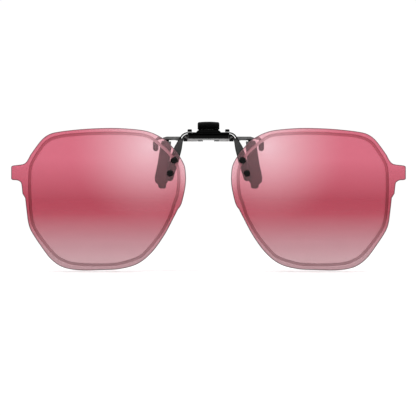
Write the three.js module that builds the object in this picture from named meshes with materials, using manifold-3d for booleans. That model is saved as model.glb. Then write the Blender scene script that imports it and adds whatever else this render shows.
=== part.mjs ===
// Clip-on flip-up lenses for spectacles: two rimless tinted lenses on a hinged bracket,
// carried by a spring clip that grips the bridge of a pair of glasses.
// Millimetres. +X to the wearer's left, -Y to the front, +Z up. The origin is on the
// jaw pin's axis, in the middle, in the plane where the closed jaws meet.

import * as THREE from 'three';
import { mergeVertices } from 'three/addons/utils/BufferGeometryUtils.js';
import Module from 'manifold-3d';

const wasm = await Module();
wasm.setup();

// ---------------------------------------------------------------- driving dimensions

const SIDES = { right: -1, left: 1 };   // sign of X on the wearer's right and left

const LENS_RADIUS = 210;                // base curve of the lens's front face
const LENS_APEX = { x: 22, y: -8, z: -22 };
const LENS_THICKNESS = 1.9;
const LENS_CENTRE = new THREE.Vector2( 39, -21 );
const LENS_EDGE_CHAMFER = 0.2;
const GROOVE_WIDTH = 1.1;
const GROOVE_DEPTH = 0.35;
const OUTLINE_STEPS = 2;                // divisions for each point of an outline

const RIVET_SPOTS = { upper: [ 12.45, - 7.9 ], lower: [ 14.0, - 12.65 ] };
const RIVET_HEAD_R = 1.22;
const RIVET_HEAD_H = 0.85;
const RIVET_SHANK_R = 0.6;
const BUSHING_R = 0.95;
const CAP_R = 1.15;
const CAP_H = 0.85;
const FIT = 0.03;                       // running clearance on a radius
const SEAT_GAP = 0.05;                  // gap between seated faces

const SHEET = 0.65;                     // thickness of the jaws' sheet metal
const JAW_OFFSET = 1.05;                // from the jaw plane to a jaw plate's inner face
const PIN_R = 0.45;
const KNUCKLE_R = 0.88;
const BORE_R = PIN_R + 0.05;

const FLIP_Y = - 3.6;                   // flip hinge axis, parallel to X
const FLIP_Z = 1.1;
const BARREL_R = 1.05;
const BARREL_HALF = 7.3;
const WASHER_T = 0.14;
const EAR_X = 7.52;                     // inner face of a bracket ear
const EAR_T = 0.6;
const EAR_R = 1.1;
const CAM_FLAT = 0.12;                  // depth of a detent flat on an ear

const BRACKET_T = 0.5;
const BRACKET_Y = - 5.35;               // front face of the bracket's cross strip
const LENS_GAP = 0.1;                   // between a bracket leg and the lens's back

const CLAW_PAD_Y = 0.35;                // pad faces, each side of the jaw plane
const CLAW_SLEEVE_T = 1.9;
const TAB_LEAN = THREE.MathUtils.degToRad( 38 );
const TAB_FOLD_Z = 3.5;
const TAB_TOP_Z = 6.45;
const TAB_CORE_TOP = 5.25;              // top of the sheet inside the finger pad
const TAB_HALF = 4.0;
const PAD_SKIN = 0.35;
const REAR_FOLD = 1.2;                  // the rear tab folds this much farther out

const FLANGE_TOP = 2.35;
const FLANGE_X = [ 6.05, 8.3 ];
const DETENT_T = 0.2;
const DETENT_RIVET = { x: 6.9, y: - 0.65, r: 0.82, h: 0.95 };

const PRONG_X = [ 18.4, 20.4 ];
const PRONG_BOTTOM = - 4.5;

const WIRE_R = 0.18;                    // torsion springs
const COIL_R = 0.78;
const COIL_TURNS = 3.5;
const COIL_X = [ 2.2, 3.95 ];

// ---------------------------------------------------------------- materials

function finish( color, roughness, metalness, opacity = 1 ) {

	return { color, roughness, metalness, opacity, transparent: opacity < 1 };

}

const TINTED_LENS = finish( 0xc9607a, 0.08, 0, 0.6 );
const BLACK_PAINT = finish( 0x0c0c0d, 0.35, 0.6 );
const GUNMETAL = finish( 0x464846, 0.35, 0.9 );
const STEEL = finish( 0x8d8d8d, 0.3, 1 );
const BLACK_PLASTIC = finish( 0x060606, 0.25, 0 );
const SMOKE_SILICONE = finish( 0x6b5054, 0.6, 0 );
const NYLON = finish( 0x2e2e2f, 0.5, 0 );

// ---------------------------------------------------------------- solids

function toSolid( geometry ) {

	const bare = geometry.clone();
	bare.deleteAttribute( 'normal' );
	bare.deleteAttribute( 'uv' );
	const merged = mergeVertices( bare, 1e-4 );
	return new wasm.Manifold( new wasm.Mesh( {
		numProp: 3,
		vertProperties: new Float32Array( merged.attributes.position.array ),
		triVerts: new Uint32Array( merged.index.array )
	} ) );

}

function toGeometry( solid ) {

	const mesh = solid.getMesh();
	const geometry = new THREE.BufferGeometry();
	geometry.setAttribute( 'position', new THREE.BufferAttribute( mesh.vertProperties, 3 ) );
	geometry.setIndex( new THREE.BufferAttribute( mesh.triVerts, 1 ) );
	return geometry;

}

function join( ...geometries ) {

	return toGeometry( geometries.map( toSolid ).reduce( ( a, b ) => a.add( b ) ) );

}

function cut( geometry, ...tools ) {

	return toGeometry( tools.map( toSolid ).reduce( ( a, b ) => a.subtract( b ), toSolid( geometry ) ) );

}

function mirrorX( geometry ) {

	const mirrored = geometry.clone().applyMatrix4( new THREE.Matrix4().makeScale( - 1, 1, 1 ) );
	if ( mirrored.index === null ) {

		mirrored.setIndex( Array.from( { length: mirrored.attributes.position.count }, ( _, i ) => i ) );

	}

	const index = mirrored.index.array;
	for ( let i = 0; i < index.length; i += 3 ) {

		[ index[ i ], index[ i + 1 ] ] = [ index[ i + 1 ], index[ i ] ];

	}

	return mirrored;

}

function forSide( geometry, sign ) {

	return sign > 0 ? geometry : mirrorX( geometry );

}

function box( x0, x1, y0, y1, z0, z1 ) {

	const geometry = new THREE.BoxGeometry( x1 - x0, y1 - y0, z1 - z0 );
	return geometry.translate( ( x0 + x1 ) / 2, ( y0 + y1 ) / 2, ( z0 + z1 ) / 2 );

}

function polygon( points ) {

	return new THREE.Shape( points.map( ( [ u, v ] ) => new THREE.Vector2( u, v ) ) );

}

function curveThrough( points, steps = OUTLINE_STEPS ) {

	const curve = new THREE.SplineCurve( points.map( ( [ u, v ] ) => new THREE.Vector2( u, v ) ) );
	return curve.getPoints( steps * points.length ).map( ( p ) => [ p.x, p.y ] );

}

// An outline drawn in X and Z, made into a plate between two planes of constant Y. A bevel
// eats into the outline, unless the spread says how far the plate's middle stands outside it.
function plate( shape, y0, y1, bevel = 0, spread = 0 ) {

	const geometry = new THREE.ExtrudeGeometry( shape, {
		depth: y1 - y0 - 2 * bevel,
		curveSegments: 6,
		bevelEnabled: bevel > 0,
		bevelThickness: bevel,
		bevelSize: bevel,
		bevelOffset: spread - bevel,
		bevelSegments: spread > 0 ? 1 : 2
	} );
	const axes = new THREE.Matrix4().makeBasis(
		new THREE.Vector3( 1, 0, 0 ),
		new THREE.Vector3( 0, 0, 1 ),
		new THREE.Vector3( 0, - 1, 0 ) );
	return geometry.applyMatrix4( axes ).translate( 0, y1 - bevel, 0 );

}

// A section drawn in Y and Z, drawn out between two planes of constant X.
function bar( shape, x0, x1 ) {

	const geometry = new THREE.ExtrudeGeometry( shape, {
		depth: x1 - x0, curveSegments: 10, bevelEnabled: false } );
	const axes = new THREE.Matrix4().makeBasis(
		new THREE.Vector3( 0, 1, 0 ),
		new THREE.Vector3( 0, 0, 1 ),
		new THREE.Vector3( 1, 0, 0 ) );
	return geometry.applyMatrix4( axes ).translate( x0, 0, 0 );

}

function rod( x0, x1, y, z, radius, segments = 20 ) {

	const geometry = new THREE.CylinderGeometry( radius, radius, x1 - x0, segments );
	return geometry.rotateZ( Math.PI / 2 ).translate( ( x0 + x1 ) / 2, y, z );

}

// A turned piece: [radius, height] pairs that start and end on the axis or close up.
function turned( profile, segments = 16 ) {

	return new THREE.LatheGeometry( profile.map( ( [ r, h ] ) => new THREE.Vector2( r, h ) ), segments );

}

function domeProfile( radius, height, base, steps = 4 ) {

	const points = [];
	for ( let i = 0; i <= steps; i ++ ) {

		const angle = i / steps * Math.PI / 2;
		points.push( [ i === steps ? 0 : radius * Math.cos( angle ), base + height * Math.sin( angle ) ] );

	}

	return points;

}

// ---------------------------------------------------------------- the lenses

// Y of the lens's front face, a sphere about a point behind the apex.
function lensFront( x, z ) {

	const across = Math.hypot( Math.abs( x ) - LENS_APEX.x, z - LENS_APEX.z );
	return LENS_APEX.y + LENS_RADIUS - Math.sqrt( LENS_RADIUS ** 2 - across ** 2 );

}

function lensNormal( x, z ) {

	return new THREE.Vector3(
		x - Math.sign( x ) * LENS_APEX.x,
		lensFront( x, z ) - LENS_APEX.y - LENS_RADIUS,
		z - LENS_APEX.z ).normalize();

}

// The lens's edge, for the wearer's left, with the tab at its outer end.
function lensOutline() {

	const brow = [ [ 8.2, - 14.4 ], [ 8.7, - 9.9 ], [ 11, - 5.7 ], [ 14.9, - 1.1 ], [ 18.2, 1.1 ],
		[ 21.4, 2.5 ], [ 25.1, 3.3 ], [ 32.4, 3.9 ], [ 39.8, 3.9 ], [ 47.1, 3.5 ], [ 54.4, 2.7 ],
		[ 58.4, 1.7 ], [ 61.5, - 0.7 ], [ 65.3, - 5.8 ] ];
	const tab = [ [ 65.3, - 5.8 ], [ 66.4, - 7.9 ], [ 67.5, - 9 ], [ 69, - 9.4 ], [ 71.6, - 9.7 ],
		[ 72.2, - 10 ], [ 72.4, - 10.6 ], [ 72.4, - 14.2 ], [ 72.2, - 14.8 ], [ 71.6, - 15.05 ],
		[ 70.2, - 15.15 ], [ 69.2, - 15.6 ], [ 68.6, - 16.5 ], [ 68.2, - 20 ] ];
	const cheek = [ [ 67.2, - 21.6 ], [ 66.6, - 26.9 ], [ 66, - 31 ], [ 64.8, - 34.1 ], [ 61.6, - 39 ],
		[ 57.9, - 43.9 ], [ 53.4, - 47 ], [ 47.1, - 48.1 ], [ 39.8, - 48 ], [ 32.4, - 47.6 ],
		[ 26, - 45.8 ], [ 20.9, - 41.8 ], [ 16.2, - 35.4 ], [ 12.6, - 28.7 ], [ 11.2, - 25.9 ] ];
	const nose = [ [ 11.2, - 25.9 ], [ 9.8, - 23.6 ], [ 8.5, - 18 ], [ 8.2, - 14.4 ] ];
	const points = [ curveThrough( brow ), tab, curveThrough( cheek ), curveThrough( nose ) ].flat();
	return points.filter( ( p, i ) => {

		const next = points[ ( i + 1 ) % points.length ];
		return Math.hypot( p[ 0 ] - next[ 0 ], p[ 1 ] - next[ 1 ] ) > 0.05;

	} );

}

// The middle of the groove that runs round the front face inside the edge.
function grooveLine() {

	const points = [ [ 10.8, - 14.3 ], [ 11.5, - 9.7 ], [ 13.9, - 5.9 ], [ 17.8, - 2.1 ], [ 21.4, 0.5 ],
		[ 25.1, 1.5 ], [ 32.4, 2 ], [ 39.8, 2 ], [ 47.1, 1.65 ], [ 54.4, 0.9 ], [ 59.2, - 1 ],
		[ 62.5, - 5.1 ], [ 65, - 9.8 ], [ 65.5, - 15 ], [ 65.4, - 21.3 ], [ 65.05, - 26.8 ],
		[ 64.2, - 31.3 ], [ 62.2, - 35 ], [ 59.1, - 39.2 ], [ 55.8, - 42.8 ], [ 52.8, - 44.6 ],
		[ 49, - 45.7 ], [ 42.7, - 46.1 ], [ 36.1, - 46 ], [ 32.4, - 45.6 ], [ 26.2, - 43.7 ],
		[ 22.9, - 41.3 ], [ 17.8, - 35.1 ], [ 14.2, - 28.6 ], [ 12.5, - 23.7 ], [ 11.3, - 20 ] ];
	return curveThrough( [ ...points, points[ 0 ] ] );

}

// How far a closed line lies from the lens's centre, in the direction of a point.
function reach( line, [ x, z ] ) {

	const dx = x - LENS_CENTRE.x;
	const dz = z - LENS_CENTRE.y;
	let farthest = 0;
	line.forEach( ( a, i ) => {

		const b = line[ ( i + 1 ) % line.length ];
		const ex = b[ 0 ] - a[ 0 ];
		const ez = b[ 1 ] - a[ 1 ];
		const ax = a[ 0 ] - LENS_CENTRE.x;
		const az = a[ 1 ] - LENS_CENTRE.y;
		const det = ex * dz - ez * dx;
		if ( Math.abs( det ) < 1e-9 ) return;
		const along = ( dx * az - dz * ax ) / det;
		const out = ( ex * az - ez * ax ) / det;
		if ( along >= 0 && along <= 1 && out > 0 ) farthest = Math.max( farthest, out );

	} );
	return farthest * Math.hypot( dx, dz );

}

// Rings of points at equal angles are joined into a closed body with a point at each end.
function ringsToBody( rings, start, end ) {

	const count = rings[ 0 ].length;
	const vertices = [ start, ...rings.flat(), end ];
	const index = [];
	const at = ( ring, i ) => 1 + ring * count + i % count;
	for ( let i = 0; i < count; i ++ ) {

		index.push( 0, at( 0, i + 1 ), at( 0, i ) );
		for ( let ring = 0; ring + 1 < rings.length; ring ++ ) {

			const [ a, b ] = [ at( ring, i ), at( ring, i + 1 ) ];
			const [ c, d ] = [ at( ring + 1, i ), at( ring + 1, i + 1 ) ];
			index.push( a, b, d, a, d, c );

		}

		index.push( at( rings.length - 1, i ), at( rings.length - 1, i + 1 ), vertices.length - 1 );

	}

	const geometry = new THREE.BufferGeometry();
	geometry.setAttribute( 'position', new THREE.Float32BufferAttribute( vertices.flat(), 3 ) );
	geometry.setIndex( index );
	return geometry;

}

function lensBlank() {

	const outline = lensOutline();
	const line = grooveLine();
	const grooveReach = outline.map( ( p ) => reach( line, p ) );
	const ring = ( radiusOf, depth ) => outline.map( ( p, i ) => {

		const offset = new THREE.Vector2( p[ 0 ], p[ 1 ] ).sub( LENS_CENTRE );
		const spot = offset.setLength( radiusOf( offset.length(), i ) ).add( LENS_CENTRE );
		return [ spot.x, lensFront( spot.x, spot.y ) + depth, spot.y ];

	} );
	const groove = ( side ) => ( edge, i ) => grooveReach[ i ] + side * GROOVE_WIDTH / 2;
	const inward = ( inset, scale ) => ( edge ) => ( edge - inset ) * scale;
	const middle = ( depth ) => [
		LENS_CENTRE.x, lensFront( LENS_CENTRE.x, LENS_CENTRE.y ) + depth, LENS_CENTRE.y ];
	const rings = [
		ring( ( edge, i ) => groove( - 1 )( edge, i ) * 0.55, 0 ),
		ring( groove( - 1 ), 0 ),
		ring( groove( - 0.7 ), GROOVE_DEPTH ),
		ring( groove( 0.7 ), GROOVE_DEPTH ),
		ring( groove( 1 ), 0 ),
		ring( inward( LENS_EDGE_CHAMFER, 1 ), 0 ),
		ring( inward( 0, 1 ), LENS_EDGE_CHAMFER ),
		ring( inward( 0, 1 ), LENS_THICKNESS - LENS_EDGE_CHAMFER ),
		ring( inward( LENS_EDGE_CHAMFER, 1 ), LENS_THICKNESS ),
		ring( inward( 0, 0.84 ), LENS_THICKNESS ),
		ring( inward( 0, 0.5 ), LENS_THICKNESS )
	];
	return ringsToBody( rings, middle( 0 ), middle( LENS_THICKNESS ) );

}

// A hole's cutter or a turned piece is stood on the lens: its +Y end points out of the front.
function standOnLens( object, x, z, depth = 0 ) {

	const normal = lensNormal( x, z );
	object.quaternion.setFromUnitVectors( new THREE.Vector3( 0, 1, 0 ), normal );
	object.position.set( x, lensFront( x, z ), z ).addScaledVector( normal, - depth );
	object.updateMatrix();
	return object;

}

function drillThrough( x, z, radius ) {

	const cutter = new THREE.CylinderGeometry( radius, radius, 12, 16 );
	return cutter.applyMatrix4( standOnLens( new THREE.Object3D(), x, z ).matrix );

}

function lens( sign ) {

	const radius = BUSHING_R + FIT;
	const holes = Object.values( RIVET_SPOTS ).map( ( [ x, z ] ) => drillThrough( x, z, radius ) );
	return forSide( cut( lensBlank(), ...holes ), sign );

}

// ---------------------------------------------------------------- lens fixings

const LEG_FRONT_DEPTH = LENS_THICKNESS + LENS_GAP;
const LEG_BACK_DEPTH = LEG_FRONT_DEPTH + BRACKET_T;

function rivet() {

	const end = - ( LEG_BACK_DEPTH + CAP_H * 0.7 );
	return turned( [ [ 0, end ], [ RIVET_SHANK_R, end ], [ RIVET_SHANK_R, SEAT_GAP ],
		...domeProfile( RIVET_HEAD_R, RIVET_HEAD_H, SEAT_GAP ) ] );

}

function bushing() {

	const inner = RIVET_SHANK_R + FIT;
	const length = LENS_THICKNESS - SEAT_GAP;
	return turned( [ [ inner, - length ], [ BUSHING_R, - length ], [ BUSHING_R, - SEAT_GAP ],
		[ inner, - SEAT_GAP ], [ inner, - length ] ] );

}

function rivetCap() {

	const inner = RIVET_SHANK_R + FIT;
	const bottom = CAP_H * 0.85;
	return turned( [ [ 0, 0 ], [ CAP_R * 0.7, 0 ], [ CAP_R, CAP_H * 0.3 ], [ CAP_R, CAP_H ],
		[ inner, CAP_H ], [ inner, CAP_H - bottom * 0.9 ], [ 0, CAP_H - bottom * 0.9 ] ] );

}

// ---------------------------------------------------------------- the lens bracket

// The strip lies in one plane, and the legs below it follow the back of the lenses.
function bracketFront( x, z ) {

	const onLens = THREE.MathUtils.smoothstep( - z, - 0.8, 2.6 );
	return THREE.MathUtils.lerp( BRACKET_Y, lensFront( x, z ) + LEG_FRONT_DEPTH, onLens );

}

// Pairs of points across the sheet's width, from its middle to the toe of a leg.
function bracketStations() {

	const count = 22;
	const outer = new THREE.SplineCurve( [ [ 0, 2.4 ], [ 7.2, 2.4 ], [ 8.6, 2.25 ], [ 9.7, 1.6 ], [ 10.5, 0.5 ],
		[ 11.6, - 1.4 ], [ 12.6, - 3.2 ], [ 13.4, - 5.6 ], [ 14.2, - 8.6 ], [ 15.2, - 12.6 ],
		[ 15.5, - 14.2 ] ].map( ( p ) => new THREE.Vector2( ...p ) ) );
	const inner = new THREE.SplineCurve( [ [ 0, 1.6 ], [ 6.6, 1.6 ], [ 7.7, 1.45 ], [ 8.5, 1 ], [ 9.1, 0.2 ],
		[ 9.4, - 1.2 ], [ 9.8, - 3.8 ], [ 10.4, - 6.2 ], [ 11.1, - 9 ], [ 12.2, - 12.3 ],
		[ 12.75, - 14.1 ] ].map( ( p ) => new THREE.Vector2( ...p ) ) );
	const stations = [];
	for ( let i = 0; i <= count; i ++ ) {

		stations.push( [ outer.getPoint( i / count ), inner.getPoint( i / count ) ] );

	}

	const toe = [ [ [ 15.4, - 14.9 ], [ 13.05, - 14.9 ] ], [ [ 14.75, - 15.45 ], [ 13.7, - 15.45 ] ] ];
	return [ ...stations, ...toe.map( ( pair ) => pair.map( ( p ) => new THREE.Vector2( ...p ) ) ) ];

}

// The bent sheet, drawn through a rectangular section at each station.
function bracketSheet() {

	const half = bracketStations();
	const flip = ( p ) => new THREE.Vector2( - p.x, p.y );
	const flipped = half.slice( 1 ).reverse().map( ( pair ) => pair.map( flip ) );
	const rings = [ ...flipped, ...half ].map( ( [ outer, inner ] ) => {

		const front = ( p ) => [ p.x, bracketFront( p.x, p.y ), p.y ];
		const back = ( p ) => [ p.x, bracketFront( p.x, p.y ) + BRACKET_T, p.y ];
		return [ front( outer ), front( inner ), back( inner ), back( outer ) ];

	} );
	const toeX = 14.2;
	const toeZ = - 15.55;
	const toeY = bracketFront( toeX, toeZ ) + BRACKET_T / 2;
	return ringsToBody( rings, [ - toeX, toeY, toeZ ], [ toeX, toeY, toeZ ] );

}

function camEar() {

	const round = new THREE.Shape().absarc( FLIP_Y, FLIP_Z, EAR_R, 0, 2 * Math.PI );
	const reachBack = FLIP_Y + EAR_R - CAM_FLAT;
	const reachUp = FLIP_Z + EAR_R - CAM_FLAT;
	const tongue = box( EAR_X, EAR_X + EAR_T, BRACKET_Y + BRACKET_T / 2, FLIP_Y - 0.4, 1.62, reachUp );
	return cut(
		join( bar( round, EAR_X, EAR_X + EAR_T ), tongue ),
		box( EAR_X - 1, EAR_X + EAR_T + 1, reachBack, reachBack + 1, FLIP_Z - 1, FLIP_Z + 1 ),
		box( EAR_X - 1, EAR_X + EAR_T + 1, FLIP_Y - 0.5, FLIP_Y + 2, reachUp, reachUp + 1 ),
		rod( EAR_X - 1, EAR_X + EAR_T + 1, FLIP_Y, FLIP_Z, BORE_R ) );

}

function lensBracket() {

	const holes = Object.values( RIVET_SPOTS ).flatMap( ( [ x, z ] ) => {

		const hole = drillThrough( x, z, RIVET_SHANK_R + FIT );
		return [ hole, mirrorX( hole ) ];

	} );
	const ear = camEar();
	return cut( join( bracketSheet(), ear, mirrorX( ear ) ), ...holes );

}

// ---------------------------------------------------------------- the flip hinge

function hingeBarrel() {

	const sleeve = rod( - BARREL_HALF, BARREL_HALF, FLIP_Y, FLIP_Z, BARREL_R );
	const web = box( - 5.5, 5.5, FLIP_Y + 0.7, - JAW_OFFSET - SHEET - SEAT_GAP, 0.5, 1.7 );
	return cut( join( sleeve, web ), rod( - BARREL_HALF - 1, BARREL_HALF + 1, FLIP_Y, FLIP_Z, BORE_R ) );

}

// A pin along X with a dome at each end.
function pin( half, headR, headT ) {

	const head = domeProfile( headR, headT, half, 4 );
	const profile = [ ...head.map( ( [ r, h ] ) => [ r, - h ] ).reverse(),
		[ PIN_R, - half ], [ PIN_R, half ], ...head ];
	return turned( profile, 20 ).rotateZ( - Math.PI / 2 );

}

function frictionWasher() {

	const inside = BARREL_HALF + 0.03;
	const ring = rod( inside, inside + WASHER_T, FLIP_Y, FLIP_Z, BARREL_R - 0.05 );
	return cut( ring, rod( inside - 1, inside + 1, FLIP_Y, FLIP_Z, BORE_R ) );

}

// A leaf screwed down at the top, bent over the flange's edge, with its free end on the cam.
function detentSpring() {

	const top = FLANGE_TOP + SEAT_GAP;
	const edge = - JAW_OFFSET - SHEET - SEAT_GAP;
	const tipY = FLIP_Y + EAR_R + FIT;
	const section = polygon( [ [ 0, top ], [ edge, top ], [ edge, 2 ], [ tipY + DETENT_T, FLIP_Z ],
		[ tipY + DETENT_T + 0.1, 0.5 ], [ tipY + 0.1, 0.5 ], [ tipY, FLIP_Z ], [ edge - DETENT_T, 2 ],
		[ edge - DETENT_T, top + DETENT_T ], [ 0, top + DETENT_T ] ] );
	const leaf = bar( section, FLANGE_X[ 0 ], FLANGE_X[ 1 ] );
	const clearance = box( FLANGE_X[ 0 ] - 1, BARREL_HALF + 0.1, - 5, edge, - 1, 2.1 );
	const { x, y } = DETENT_RIVET;
	return cut( leaf, clearance, standing( x, y, 0.4 ) );

}

// A vertical cylinder used to pierce the flange and the leaf.
function standing( x, y, radius ) {

	return new THREE.CylinderGeometry( radius, radius, 6, 16 ).rotateX( Math.PI / 2 ).translate( x, y, 2 );

}

function detentRivet() {

	const { x, y, r, h } = DETENT_RIVET;
	const shank = 0.36;
	const seat = FLANGE_TOP + DETENT_T + 2 * SEAT_GAP;
	const foot = FLANGE_TOP - SHEET + 0.02;
	return turned( [ [ 0, foot ], [ shank, foot ], [ shank, seat ], [ r, seat ], [ r, seat + h * 0.7 ],
		[ r * 0.8, seat + h ], [ 0, seat + h ] ], 20 ).rotateX( Math.PI / 2 ).translate( x, y, 0 );

}

// ---------------------------------------------------------------- the clip's jaws

const CLAW_OUTER = [ [ 17.2, - 0.9 ], [ 17.75, - 2.9 ], [ 18.2, - 5.9 ], [ 18.9, - 10.3 ], [ 19.6, - 13.2 ],
	[ 19.75, - 15.2 ], [ 19.2, - 16.2 ], [ 18.5, - 16.7 ], [ 18.4, - 17.6 ], [ 17.7, - 18.2 ] ];
const CLAW_INNER = [ [ 16.1, - 18.2 ], [ 15.5, - 17.5 ], [ 15.35, - 15.9 ], [ 14.6, - 15.1 ],
	[ 14.3, - 9.5 ], [ 14.05, - 6.6 ], [ 13.7, - 0.9 ] ];
const CLAW_CORE = [ [ 14.4, 0 ], [ 16.2, 0 ], [ 17.2, - 6.1 ], [ 18.2, - 12.4 ], [ 18.2, - 14.4 ],
	[ 17.5, - 16.9 ], [ 16.6, - 16.9 ], [ 16.5, - 15 ], [ 15.8, - 10 ], [ 15, - 4.5 ] ];

function lean( distance ) {

	return distance * Math.tan( TAB_LEAN );

}

// A finger tab: a sheet that folds away from the jaw plane. side is -1 in front, 1 behind.
function fingerTab( side, half, from, fold, bottomY ) {

	const inner = JAW_OFFSET + fold;
	const rise = TAB_CORE_TOP - TAB_FOLD_Z;
	const section = [ [ bottomY, from ], [ inner, TAB_FOLD_Z ], [ inner + lean( rise ), TAB_CORE_TOP ],
		[ inner + lean( rise ) + SHEET * 0.8, TAB_CORE_TOP ], [ inner + SHEET, TAB_FOLD_Z - 0.1 ],
		[ bottomY + SHEET, from ] ];
	return bar( polygon( section.map( ( [ y, z ] ) => [ side * y, z ] ) ), - half, half );

}

function knuckle( x0, x1, side ) {

	const curl = rod( x0, x1, 0, 0, KNUCKLE_R );
	const near = 0.4;
	const far = JAW_OFFSET + SHEET / 2;
	const web = side < 0 ? box( x0, x1, - far, - near, - 0.25, 0.6 ) : box( x0, x1, near, far, - 0.25, 0.6 );
	return join( curl, web );

}

function inBothSides( geometry ) {

	return [ geometry, mirrorX( geometry ) ];

}

function frontJaw() {

	const [ y0, y1 ] = [ - JAW_OFFSET - SHEET, - JAW_OFFSET ];
	const body = plate( polygon( [ [ - 7.4, - 0.3 ], [ 7.4, - 0.3 ], [ 7.4, 1.9 ], [ 4.9, 2.1 ],
		[ 3.9, 3.2 ], [ - 3.9, 3.2 ], [ - 4.9, 2.1 ], [ - 7.4, 1.9 ] ] ), y0, y1 );
	const arm = plate( polygon( [ [ 7.2, 0.9 ], [ 15.4, 0.9 ], [ 16.7, 0.5 ], [ 15.6, - 0.2 ],
		[ 13.2, - 0.2 ], [ 11.2, - 0.65 ], [ 7.2, - 0.3 ] ] ), y0, y1 );
	const claw = plate( polygon( CLAW_CORE ), y0, y1 );
	const flange = cut( box( ...FLANGE_X, y0, 0, FLANGE_TOP - SHEET, FLANGE_TOP ),
		standing( DETENT_RIVET.x, DETENT_RIVET.y, 0.4 ) );
	const tab = fingerTab( - 1, TAB_HALF - PAD_SKIN, 2.9, 0, JAW_OFFSET );
	const sides = [ arm, claw, flange, knuckle( 4.2, 7.5, - 1 ) ].flatMap( inBothSides );
	return cut( join( body, tab, ...sides ), rod( - 10, 10, 0, 0, BORE_R ) );

}

function rearJaw() {

	const [ y0, y1 ] = [ JAW_OFFSET, JAW_OFFSET + SHEET ];
	const body = plate( polygon( [ [ - 9.2, - 0.3 ], [ 9.2, - 0.3 ], [ 9.2, 0.9 ], [ 4.8, 1.2 ],
		[ - 4.8, 1.2 ], [ - 9.2, 0.9 ] ] ), y0, y1 );
	const arm = plate( polygon( [ [ 9, 0.55 ], [ 18.9, 0.4 ], [ 19.8, - 0.3 ], [ 19.8, - 3.9 ],
		[ 19, - 3.9 ], [ 19, - 0.9 ], [ 18.5, - 0.45 ], [ 9, - 0.3 ] ] ), y0, y1 );
	const tab = fingerTab( 1, TAB_HALF - PAD_SKIN, 1, REAR_FOLD, JAW_OFFSET );
	const sides = [ arm, knuckle( 7.6, 9.2, 1 ) ].flatMap( inBothSides );
	return cut( join( body, tab, ...sides ), rod( - 10, 10, 0, 0, BORE_R ) );

}

// A moulded cap pushed over a finger tab, with rounded corners and a crowned top edge.
function fingerPad( side, fold ) {

	const thickness = SHEET + 2 * PAD_SKIN;
	const foot = 0.35;
	const crown = 0.2;
	const corner = 0.8;
	const rise = TAB_TOP_Z - TAB_FOLD_Z - foot - thickness / 2 * Math.sin( TAB_LEAN );
	const shoulder = rise / Math.cos( TAB_LEAN ) - crown;
	const face = new THREE.Shape();
	face.moveTo( - TAB_HALF, 0 );
	face.lineTo( TAB_HALF, 0 );
	face.lineTo( TAB_HALF, shoulder - corner );
	face.quadraticCurveTo( TAB_HALF, shoulder, TAB_HALF - corner, shoulder );
	face.quadraticCurveTo( 0, shoulder + 2 * crown, - TAB_HALF + corner, shoulder );
	face.quadraticCurveTo( - TAB_HALF, shoulder, - TAB_HALF, shoulder - corner );
	const cap = plate( face, - thickness / 2, thickness / 2, 0.2 );
	cap.rotateX( - side * TAB_LEAN );
	const middle = JAW_OFFSET + fold + SHEET / 2 + lean( foot );
	cap.translate( 0, side * middle, TAB_FOLD_Z + foot );
	return cut( cap, fingerPocket( side, fold ) );

}

// The room that the sheet takes up inside the cap.
function fingerPocket( side, fold ) {

	const half = TAB_HALF - PAD_SKIN + FIT;
	const inner = JAW_OFFSET + fold - FIT;
	const outer = inner + SHEET + 2 * FIT;
	const top = TAB_CORE_TOP + FIT;
	const low = TAB_FOLD_Z - 1;
	const tip = inner + lean( top - TAB_FOLD_Z );
	const section = [ [ inner, low ], [ inner, TAB_FOLD_Z ], [ tip, top ],
		[ tip + SHEET * 0.8 + 2 * FIT, top ], [ outer, TAB_FOLD_Z - 0.1 ], [ outer, low ] ];
	return bar( polygon( section.map( ( [ y, z ] ) => [ side * y, z ] ) ), - half, half );

}

function clawSleeve( sign ) {

	const [ y0, y1 ] = [ - CLAW_PAD_Y - CLAW_SLEEVE_T, - CLAW_PAD_Y ];
	const outline = polygon( [ ...curveThrough( CLAW_OUTER, 1 ), ...curveThrough( CLAW_INNER, 1 ) ] );
	const skin = plate( outline, y0, y1, 0.3 );
	const [ coreFront, coreBack ] = [ - JAW_OFFSET - SHEET - 2 * FIT, - JAW_OFFSET + 2 * FIT ];
	const core = plate( polygon( CLAW_CORE ), coreFront, coreBack, FIT, FIT );
	return forSide( cut( skin, core ), sign );

}

function prongSleeve( sign ) {

	const [ x0, x1 ] = PRONG_X;
	const radius = ( x1 - x0 ) / 2;
	const top = - 1;
	const face = new THREE.Shape();
	face.moveTo( x1, top );
	face.lineTo( x0, top );
	face.lineTo( x0, PRONG_BOTTOM + radius );
	face.absarc( ( x0 + x1 ) / 2, PRONG_BOTTOM + radius, radius, Math.PI, 2 * Math.PI, false );
	const skin = plate( face, CLAW_PAD_Y, CLAW_PAD_Y + CLAW_SLEEVE_T, 0.25 );
	const core = box( 19 - FIT, 19.8 + FIT, JAW_OFFSET - FIT, JAW_OFFSET + SHEET + FIT, - 3.9 - FIT, 1 );
	return forSide( cut( skin, core ), sign );

}

// ---------------------------------------------------------------- the clip's springs

// A coil round the jaw pin whose two ends stand up against the jaws' plates.
class TorsionSpringLine extends THREE.Curve {

	getPoint( t, target = new THREE.Vector3() ) {

		const legLength = 1.7;
		const coilLength = 2 * Math.PI * COIL_TURNS * COIL_R;
		const total = coilLength + 2 * legLength;
		const s = t * total;
		const along = ( part ) => THREE.MathUtils.lerp( COIL_X[ 0 ], COIL_X[ 1 ], part );
		if ( s < legLength ) return target.set( along( 0 ), COIL_R, legLength - s );
		if ( s > total - legLength ) return target.set( along( 1 ), - COIL_R, s - total + legLength );
		const part = ( s - legLength ) / coilLength;
		const angle = - part * COIL_TURNS * 2 * Math.PI;
		return target.set( along( part ), COIL_R * Math.cos( angle ), COIL_R * Math.sin( angle ) );

	}

}

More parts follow.
